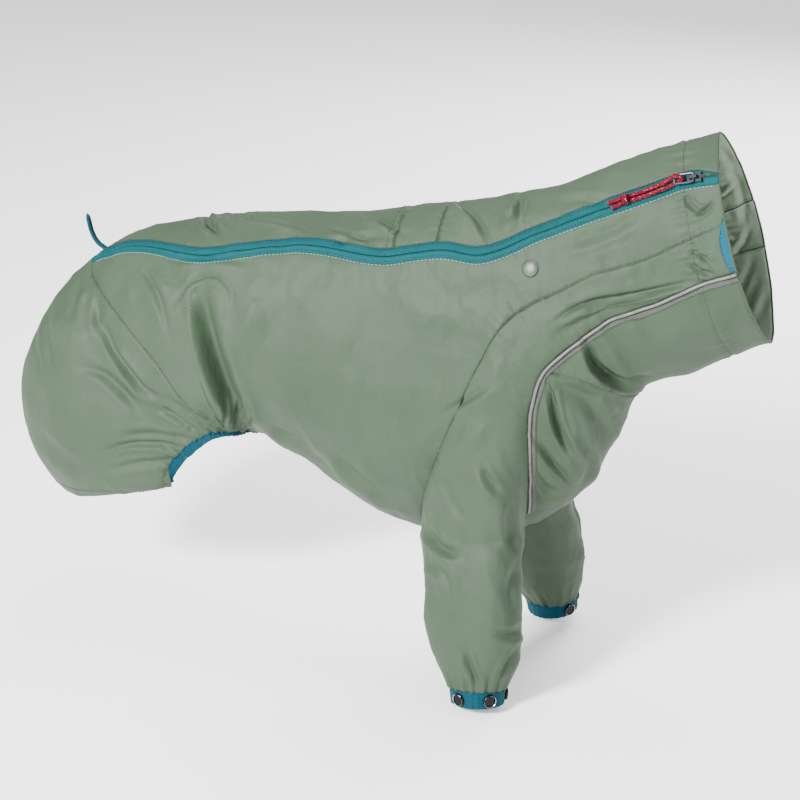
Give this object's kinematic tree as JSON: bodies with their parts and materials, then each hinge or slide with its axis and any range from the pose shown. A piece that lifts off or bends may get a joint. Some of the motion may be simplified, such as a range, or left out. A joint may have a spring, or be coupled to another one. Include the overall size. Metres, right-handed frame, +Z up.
{
  "type": "dog rain suit",
  "caption": "Rain suit for a dog, hollow as worn: long neck, two short front sleeves with elastic cuffs, a long back zip with a corded puller, shaped thigh pieces and a tail loop.",
  "frame": {"origin": "inner face of the cloth at the withers, on the centre line, where the dog carries the suit", "axes": "+X to the neck opening, +Y to the dog's left, +Z up"},
  "size_m": [0.7675, 0.2628, 0.5374],
  "materials": {
    "shell_cloth": "matt coated cloth",
    "cuff_elastic": "ribbed elastic webbing",
    "binding_elastic": "gathered elastic binding",
    "gusset_elastic": "knitted elastic",
    "zip_tape": "woven tape",
    "zip_coil": "nylon coil",
    "piping_bead": "reflective silver piping",
    "piping_flange": "woven strip, stitched",
    "snap_metal": "gunmetal",
    "snap_cap": "coated cap in the cloth colour",
    "slider_metal": "gunmetal",
    "puller_metal": "bright wire",
    "puller_cord": "braided cord with pale flecks",
    "loop_cord": "round braided cord"
  },
  "bodies": {
    "suit": {"back_front": "shell_cloth", "back_insert": "shell_cloth", "back_rear": "shell_cloth", "body_snap": "snap_cap", "chest": "shell_cloth", "collar_gusset": "gusset_elastic", "cuff_left": "cuff_elastic", "cuff_right": "cuff_elastic", "cuff_snap_left_1": "snap_metal", "cuff_snap_left_2": "snap_metal", "cuff_snap_left_3": "snap_metal", "cuff_snap_right_1": "snap_metal", "cuff_snap_right_2": "snap_metal", "cuff_snap_right_3": "snap_metal", "groin_binding_left": "binding_elastic", "groin_binding_right": "binding_elastic", "hind_left": "shell_cloth", "hind_right": "shell_cloth", "piping_flange_left": "piping_flange", "piping_flange_right": "piping_flange", "piping_left": "piping_bead", "piping_right": "piping_bead", "side_left": "shell_cloth", "side_right": "shell_cloth", "sleeve_left": "shell_cloth", "sleeve_right": "shell_cloth", "tail_loop": "loop_cord", "throat": "shell_cloth", "zip_coil": "zip_coil", "zip_slider": "slider_metal", "zip_tape_left": "zip_tape", "zip_tape_right": "zip_tape"},
    "pull": {"pull_frame": "puller_metal", "pull_cord": "puller_cord", "pull_knot": "puller_cord"}
  },
  "joints": [
    {"name": "pull_hinge", "type": "hinge", "parent": "suit", "child": "pull", "pos_m": [0.21763, -0.03423, 0.05448], "axis": [-0.2095, 0.4805, 0.8516], "range_deg": [0, 120]}
  ]
}
